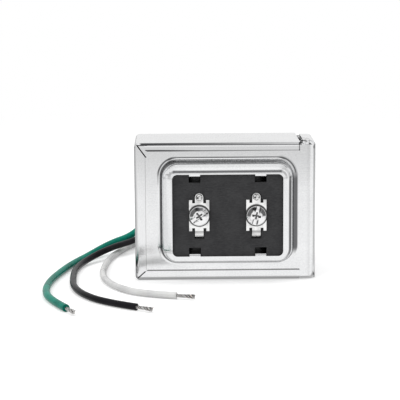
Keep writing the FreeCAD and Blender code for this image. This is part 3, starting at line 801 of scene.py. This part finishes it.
def wound(tree):
    turns = noise(tree, 1800.0, stretch=(0.02, 0.02, 1), detail=1.0)
    colour = turns.between((0.5, 0.2, 0.08), (0.85, 0.45, 0.22))
    surface(tree, colour, turns * 0.2 + 0.2, (0.08 * mm, turns), metallic=1.0)


finishes["core_iron"] = skin("laminated_iron", laminated)
finishes["winding_copper"] = skin("wound_copper", wound)

# %% [markdown]
# Mouldings and tape
# The bobbin, the bushing, the splices and the cut-out's shell are plain mouldings with a soft cloud in their
# colour and fine pores, and the tape over the coil looks much the same. So one function paints them all.


# %% Mouldings and tape
def moulded(dark, pale, roughness):
    """A finish for a moulding, between two colours."""
    def paint(tree):
        cloud = noise(tree, 250.0)
        pores = noise(tree, 3000.0, detail=2.0)
        surface(tree, cloud.between(dark, pale), pores * 0.15 + roughness, (0.008 * mm, pores))
    return paint


finishes["coil_tape"] = skin("black_film", moulded((0.012, 0.012, 0.013), (0.02, 0.02, 0.021), 0.4))
finishes["bobbin_nylon"] = skin("bobbin_nylon", moulded((0.012, 0.012, 0.013), (0.022, 0.022, 0.023), 0.5))
finishes["splice_nylon"] = skin("splice_nylon", moulded((0.7, 0.69, 0.64), (0.8, 0.79, 0.74), 0.35))
finishes["cutout_shell"] = skin("cutout_shell", moulded((0.66, 0.64, 0.58), (0.78, 0.76, 0.7), 0.3))
finishes["throat_nylon"] = skin("throat_nylon", moulded((0.022, 0.022, 0.024), (0.04, 0.04, 0.043), 0.35))

# %% [markdown]
# Insulation and bare copper
# The leads' vinyl is drawn through a die, which leaves soft streaks. Its shine is kept low, because in a
# white studio a strong one turns dark vinyl milky. The copper at the stripped ends is tinned, so it is grey
# with a warm place here and there, and painted shade darkens the valleys between its wires.


# %% Leads' finishes
def vinyl(dark, pale):
    """A finish for a lead's insulation, between two colours."""
    def paint(tree):
        streak = noise(tree, 140.0, detail=4.0)
        dust = noise(tree, 1600.0, detail=3.0)
        colour = streak.step(0.3, 0.7).between(dark, pale)
        roughness = streak * 0.16 + dust * 0.08 + 0.16
        surface(tree, colour, roughness, (0.03 * mm, streak), shine=0.07)
    return paint


def tinned(tree):
    """Tinned wires, with painted shade in the valleys between them, as the mesh's own attribute tells."""
    worn = noise(tree, 1500.0, detail=4.0)
    valley_shade = tree.node("Attribute", {"attribute_name": "valley_shade"}, output="Fac")
    tin = worn.step(0.55, 0.8).between((0.72, 0.71, 0.7), (0.62, 0.4, 0.26))
    surface(tree, valley_shade.step(0.03, 0.24).between(tin, grey(0.006)), worn * 0.2 + 0.15, metallic=1.0)


finishes["green_insulation"] = skin("green_vinyl", vinyl((0.002, 0.155, 0.112), (0.006, 0.25, 0.178)))
finishes["black_insulation"] = skin("black_vinyl", vinyl((0.006, 0.006, 0.007), (0.014, 0.013, 0.016)))
finishes["white_insulation"] = skin("white_vinyl", vinyl(grey(0.64), (0.77, 0.77, 0.76)))
finishes["lead_strand"] = skin("tinned_copper", tinned)
print("finishes in all:", len(finishes))

# %% [markdown]
# Dressing the solids
# The part's record names a slot for the finish of every solid, so one loop dresses them all. The frame and
# the cover share a slot, as they are cut from the same sheet, but the frame has painted shade of its own.

# %% Dress the solids
slots = {row["node"]: row["material_slot"] for row in frame["record"]["subparts"]}
for name, solid in frame["nodes"].items():
    solid.data.materials[0] = finishes[slots[name]]
frame["nodes"]["crimp_frame"].data.materials[0] = frame_finish
print("solids dressed:", len(slots))

# %% [markdown]
# Finished pieces
# Every piece that this lesson adds goes the same last steps: its faces are turned outwards and shaded
# smooth up to an angle, it gets its finish, and it rides with the part. Its place is in its mesh, as with
# the solids, so that a noise sits on it as on them.

# %% New pieces
sharp_angle = math.radians(40)


def new_piece(name, bm, slot, finish=None):
    """A finished piece at the origin that rides with the part, from a mesh in the shared frame."""
    bmesh.ops.recalc_face_normals(bm, faces=bm.faces[:])
    for face in bm.faces:
        face.smooth = True
    mesh = mesh_of(name, bm)
    mesh.set_sharp_from_angle(angle=sharp_angle)
    mesh.materials.append(finish or finishes[slot])
    piece = put_in_scene(name, mesh)
    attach(piece, "root")
    return piece


print("sharp edges from:", round(math.degrees(sharp_angle)), "degrees")

# %% [markdown]
# Bare ends
# A stripped end is seven thin wires, six of them twisted round the seventh, and the cut lets them spread a
# little. One wire is a small ring, and a screw move of the ring about the lead's axis draws its whole
# length: a spin that also steps forward. Twisting a straight mesh would do too, but a spin needs no formula.

# %% Strands
wires = 7
wire_sides = 10
wire_radius = 0.2 * mm
strand_length = 6.5 * mm
strand_turns = 1.15
strand_steps = 36
strand_spread = 0.45
wire_shorter = 0.05
cut_from, cut_valley = 0.88 * strand_length, 0.1
core_valley, valley_reach = 1.35, 2.2 * wire_radius


def draw_wire(bm, wire):
    """One wire of a bundle along z: the first is the core and the others lie round it."""
    start = bmesh.ops.create_circle(bm, segments=wire_sides, radius=wire_radius)["verts"]
    if wire:
        bmesh.ops.translate(bm, verts=start, vec=(2 * wire_radius, 0, 0))
        bmesh.ops.rotate(bm, verts=start, matrix=Matrix.Rotation(wire * math.pi / 3, 3, "Z"))
    ring = list(dict.fromkeys(edge for vert in start for edge in vert.link_edges))
    length = strand_length * (1 - wire_shorter * (wire % 3))
    bmesh.ops.spin(
        bm, geom=start + ring, cent=(0, 0, 0), axis=(0, 0, 1), angle=strand_turns * 2 * math.pi,
        dvec=(0, 0, length / strand_steps), steps=strand_steps,
    )


def strand_bundle(colour):
    """The seven wires of a lead's stripped end."""
    bm = bmesh.new()
    for wire in range(wires):
        draw_wire(bm, wire)
    # Painted shade: a value at each corner darkens the wires, most towards the core and a little at the cut
    # ends.
    valley_shade = bm.verts.layers.float.new("valley_shade")
    for vert in bm.verts:
        cut = vert.co.z > cut_from
        vert[valley_shade] = cut_valley if cut else core_valley - vert.co.xy.length / valley_reach
        spread = 1 + strand_spread * (vert.co.z / strand_length) ** 2
        vert.co.x *= spread
        vert.co.y *= spread
    bmesh.ops.holes_fill(bm, edges=bm.edges[:], sides=wire_sides)
    before, end = [Vector(place) * mm for place in routes[colour][-2:]]
    stand = (end - before).normalized().to_track_quat("Z", "Y").to_matrix().to_4x4()
    bmesh.ops.transform(bm, matrix=Matrix.Translation(end) @ stand, verts=bm.verts[:])
    piece = new_piece(colour + "_strand_wires", bm, "lead_strand")
    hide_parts(colour + "_strands")
    return piece


strands = {colour: strand_bundle(colour) for colour in routes}
print("strand faces:", {colour: len(piece.data.polygons) for colour, piece in strands.items()})

# %% [markdown]
# The hub's barrel
# Behind the case stands the hub that goes through the knockout of an outlet box and takes a locknut. The
# solid has a plain barrel at the thread's crest. Here the barrel is turned down to the thread's root, as on
# a lathe: half its section is spun round the axis.

# %% Hub's barrel
hub_root, hub_bore = in_mm(9.9, 7.9)
hub_reach = 12.0 * mm
hub_mouth = max(Vector(corner).y for corner in frame["nodes"]["hub_nipple"].bound_box)
hub_face = hub_mouth - hub_reach
collar_radius, collar_thick = in_mm(13.6, 2.0)
rim_radius, rim_back = in_mm(11.7, 1.7)
neck_radius, neck_back = in_mm(10.45, 0.7)
small_edge = 0.3 * mm
turn_steps = 64
hub_axis = Vector((pocket_x, 0, mid_z))
hub_profile = [
    (hub_bore, -rim_back),
    (rim_radius, -rim_back),
    (rim_radius, -neck_back),
    (neck_radius, -neck_back),
    (neck_radius, 0),
    (collar_radius - small_edge, 0),
    (collar_radius, small_edge),
    (collar_radius, collar_thick - small_edge),
    (collar_radius - small_edge, collar_thick),
    (hub_root, collar_thick),
    (hub_root, hub_reach - small_edge),
    (hub_root - small_edge, hub_reach),
    (hub_bore + small_edge, hub_reach),
    (hub_bore, hub_reach - small_edge),
]


def ring_of(bm, points):
    """A closed ring of edges through pairs of radius and y, beside the hub's axis."""
    verts = [bm.verts.new((hub_axis.x + radius, y, hub_axis.z)) for radius, y in points]
    edges = [bm.edges.new(pair) for pair in zip(verts, verts[1:] + verts[:1])]
    return verts + edges


def lathe(bm, section, middle):
    """One full turn of a section round an axis along y."""
    whole = {"angle": 2 * math.pi, "steps": turn_steps, "use_merge": True}
    bmesh.ops.spin(bm, geom=section, cent=middle, axis=(0, 1, 0), **whole)


hub_bm = bmesh.new()
lathe(hub_bm, ring_of(hub_bm, [(radius, hub_face + y) for radius, y in hub_profile]), hub_axis)
barrel_verts = len(hub_bm.verts)
print("barrel:", len(hub_bm.faces), "faces over", round(hub_reach / mm, 1), "mm")

# %% [markdown]
# The hub's thread
# The locknut runs on a pipe thread of 14 turns to the inch. It could be a bump, but its edge shows against
# the light, so the ridge is wound on: a small section that spins round the axis while it steps back by one
# pitch each turn. It fades in at the collar and sinks into the bevel at the mouth.

# %% Hub's thread
inch = 25.4 * mm
pitch = inch / 14
thread_turns = 5
hub_crest = 10.5 * mm
thread_gap = 0.45 * mm
thread_start = hub_face + collar_thick + thread_gap
ridge_sink = 0.1 * mm
ridge_foot, ridge_flat = 0.42 * pitch, 0.08 * pitch
fade_length = 0.5 * pitch
mouth_bevel, mouth_room = in_mm(0.9, 0.1)
ridge_section = [
    (hub_root - ridge_sink, -ridge_foot),
    (hub_crest, -ridge_flat),
    (hub_crest, ridge_flat),
    (hub_root - ridge_sink, ridge_foot),
]

ridge = ring_of(hub_bm, [(radius, thread_start + y) for radius, y in ridge_section])
bmesh.ops.spin(
    hub_bm, geom=ridge, cent=hub_axis, axis=(0, 1, 0), angle=thread_turns * 2 * math.pi,
    dvec=(0, pitch / turn_steps, 0), steps=thread_turns * turn_steps,
)
bmesh.ops.holes_fill(hub_bm, edges=hub_bm.edges[:], sides=len(ridge_section))
hub_bm.verts.ensure_lookup_table()
for vert in hub_bm.verts[barrel_verts:]:
    spoke = Vector((vert.co.x - hub_axis.x, 0, vert.co.z - hub_axis.z))
    fade = min(1, max(0, (vert.co.y - thread_start) / fade_length))
    past_bevel = max(0, vert.co.y - hub_mouth + mouth_bevel)
    limit = min(hub_root + (hub_crest - hub_root) * fade, hub_crest - past_bevel)
    spoke *= min(1, limit / spoke.length)
    vert.co = (hub_axis.x + spoke.x, min(vert.co.y, hub_mouth - mouth_room), hub_axis.z + spoke.z)
print("thread:", len(hub_bm.verts) - barrel_verts, "corners in", thread_turns, "turns")

# %% [markdown]
# The hub's finger
# Inside the hub a finger stands out for the earth lead to be soldered to. It is a bent tab, and two blocks
# that meet at a right angle are all that can be seen of it.

# %% Hub's finger
finger_width = 3.0 * mm
finger_low, finger_high, web_high = in_mm(5.6, 6.8, 10.7)
finger_front, web_back, finger_tip = in_mm(-2.9, -1.7, 3.8)

for back, high in ((web_back, web_high), (finger_tip, finger_high)):
    size = Vector((finger_width, back - finger_front, high - finger_low))
    middle = Vector((pocket_x, hub_face + (finger_front + back) / 2, mid_z + (finger_low + high) / 2))
    bmesh.ops.create_cube(hub_bm, size=1, matrix=Matrix.Translation(middle) @ Matrix.Diagonal((*size, 1)))
hub = new_piece("hub_thread", hub_bm, "hub_zinc")
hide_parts("hub_nipple")
print("hub faces:", len(hub.data.polygons))

# %% [markdown]
# Screw blanks and punches
# The terminals are pan-head screws that take a flat or a cross driver. The head is turned, so its profile
# is spun round the axis. The drive could be drawn into the dome face by face, but on the real screw a punch
# forces it in, so the punches are made here too: a bar for the slot and two tapered wings for the cross.

# %% Screw blanks and punches
head_height = 2.2 * mm
dome_rings = 8
shank_radius = 1.7 * mm
tip_bevel = 0.4 * mm
weld = 0.001 * mm


def screw_blank(middle, front, tip):
    """The turned screw: a domed head and a plain shank."""
    bm = bmesh.new()
    dome = [head_radius * ring / dome_rings for ring in range(dome_rings + 1)]
    points = [(radius, front + dome_ball - math.sqrt(dome_ball ** 2 - radius ** 2)) for radius in dome]
    points += [(head_radius, front + head_height), (shank_radius, front + head_height)]
    points += [(shank_radius, tip - tip_bevel), (shank_radius - tip_bevel, tip), (0, tip)]
    verts = [bm.verts.new((middle.x + radius, y, middle.z)) for radius, y in points]
    edges = [bm.edges.new(pair) for pair in zip(verts, verts[1:])]
    lathe(bm, verts + edges, middle)
    bmesh.ops.remove_doubles(bm, verts=bm.verts[:], dist=weld)
    bmesh.ops.recalc_face_normals(bm, faces=bm.faces[:])
    return put_in_scene("screw_blank", mesh_of("screw_blank", bm))


def punch(middle, front, turn, size, taper):
    """A bar across the head that narrows to its taper at the deep end."""
    bm = bmesh.new()
    bmesh.ops.create_cube(bm, size=1)
    deep_end = [vert for vert in bm.verts if vert.co.y > 0]
    bmesh.ops.scale(bm, verts=deep_end, vec=(taper, 1, taper))
    long, deep, wide = size
    bmesh.ops.scale(bm, verts=bm.verts[:], vec=(long, 2 * deep, wide))
    bmesh.ops.rotate(bm, verts=bm.verts[:], matrix=Matrix.Rotation(-math.radians(turn), 3, "Y"))
    bmesh.ops.translate(bm, verts=bm.verts[:], vec=(middle.x, front, middle.z))
    return put_in_scene("punch", mesh_of("punch", bm))


print("screw head:", round(2 * head_radius / mm, 1), "mm wide")

# %% [markdown]
# Terminal screws
# Now a Boolean does what the press does: the slot and the wings are taken out of the head. A narrow bevel
# then breaks the edges, which is what catches the light on such a small thing. The modifiers' result
# becomes the piece, and the blank and its punches go.

# %% Terminal screws
slot_size = (2.4 * head_radius, 1.25 * mm, 1.4 * mm)
wing_size = in_mm(4.2, 1.7, 1.0)
wing_taper = 0.55
edge_break = 0.12 * mm
edge_angle = math.radians(25)


def terminal_screw(side):
    """A finished screw in the place of its solid."""
    node = side + "_terminal_screw"
    low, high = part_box(node)
    middle = Vector((pocket_x + screw_sign[side] * screw_side, 0, mid_z))
    blank = screw_blank(middle, low[1], high[1])
    turn = screw_turn[side]
    punches = [
        punch(middle, low[1], turn, slot_size, 1),
        punch(middle, low[1], turn, wing_size, wing_taper),
        punch(middle, low[1], turn + 90, wing_size, wing_taper),
    ]
    for tool in punches:
        cut = blank.modifiers.new("cut", "BOOLEAN")
        cut.operation = "DIFFERENCE"
        cut.solver = "EXACT"
        cut.object = tool
    soften = blank.modifiers.new("soften", "BEVEL")
    soften.width = edge_break
    soften.segments = 2
    soften.limit_method = "ANGLE"
    soften.angle_limit = edge_angle
    ready = blank.evaluated_get(bpy.context.evaluated_depsgraph_get())
    bm = bmesh.new()
    bm.from_mesh(ready.data)
    for spare in [blank] + punches:
        bpy.data.objects.remove(spare)
    screw = new_piece(side + "_screw", bm, "screw_zinc", screw_finish[side])
    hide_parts(node)
    return screw


screws = [terminal_screw(side) for side in screw_sign]
print("screw faces:", [len(screw.data.polygons) for screw in screws])

# %% [markdown]
# Torn sheet
# At the upper right corner the press tore the frame's end. Torn sheet is bright on its ridges and black in
# its splits, so its finish is the same zinc with a ragged painted shadow for the splits, which leaves the
# front edge and the right end pale.

# %% Torn sheet
split_share = (0.45, 0.5)
split_end = in_mm(29.8, 28.8)
pale_side, pale_front = in_mm(27.6, 28.2), in_mm(-18.4, -19.0)


def torn_zinc(tree):
    x, y, _ = axes(tree)
    pale_edge = x.step(*pale_side) * y.step(*pale_front)
    # Painted shadow: the splits' dark is a noise in the zinc's colour.
    split_shadow = noise(tree, 950.0, detail=2.0).step(*split_share) * x.step(*split_end) * (1 - pale_edge)
    zinc_sheet(tree, split_shadow)


torn_finish = skin("torn_zinc", torn_zinc)

# %% [markdown]
# The torn crimp
# The crumpled sheet sticks in the gap beside the flap. A cloth simulation could crush a strip, but the look
# is a handful of sharp dents: a fine grid, pushed up and down by a noise with steep sides, opened where the
# dents are deepest, and given the sheet's thickness.

# %% Torn crimp
torn_thick = 0.35 * mm
torn_level = case_height - 0.5 * mm
dent_depth, dent_size = in_mm(0.8, 0.9)
dent_steep, dent_low, dent_high = 2.6, -1, 0.5
tear_below, tear_end, tear_front = in_mm(0.3, 29.4, -18.6)
slit_strip, slit_cells = in_mm(26.45, 27.95, -15.5, -4.0), (6, 36)
front_strip, front_cells = in_mm(26.45, 31.4, -20.2, -15.5), (18, 16)


def torn_strip(bm, x0, x1, y0, y1, cells):
    """A crumpled strip of sheet just below the top wall."""
    across, along = cells
    strip = bmesh.ops.create_grid(bm, x_segments=across, y_segments=along, size=0.5)["verts"]
    bmesh.ops.scale(bm, verts=strip, vec=(x1 - x0, y1 - y0, 1))
    bmesh.ops.translate(bm, verts=strip, vec=((x0 + x1) / 2, (y0 + y1) / 2, torn_level))
    for vert in strip:
        dent = dent_steep * mathutils.noise.noise(vert.co / dent_size)
        vert.co.z += max(dent_low, min(dent_high, dent)) * dent_depth
    torn_out = []
    for face in dict.fromkeys(face for vert in strip for face in vert.link_faces):
        middle = face.calc_center_median()
        if middle.z < torn_level - tear_below and middle.x < tear_end and middle.y > tear_front:
            torn_out.append(face)
    bmesh.ops.delete(bm, geom=torn_out, context="FACES")


bm = bmesh.new()
torn_strip(bm, *slit_strip, slit_cells)
torn_strip(bm, *front_strip, front_cells)
bmesh.ops.solidify(bm, geom=bm.faces[:], thickness=torn_thick)
torn = new_piece("torn_crimp", bm, "case_zinc", torn_finish)
print("torn crimp faces:", len(torn.data.polygons))

# %% [markdown]
# The leads' vinyl
# Last, the leads get their vinyl, ride with the part and take the place of their solids. The place where
# each comes out of the hub is worked out as well.

# %% Cords
exit_y = 31.5

for colour, tube in leads.items():
    tube.data.materials.append(finishes[colour + "_insulation"])
    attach(tube, "root")
    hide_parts(colour + "_lead")
    out = Vector(routes[colour][0])
    out.y = exit_y
print("cords declared:", len(leads))

# %% [markdown]

# %% [markdown]
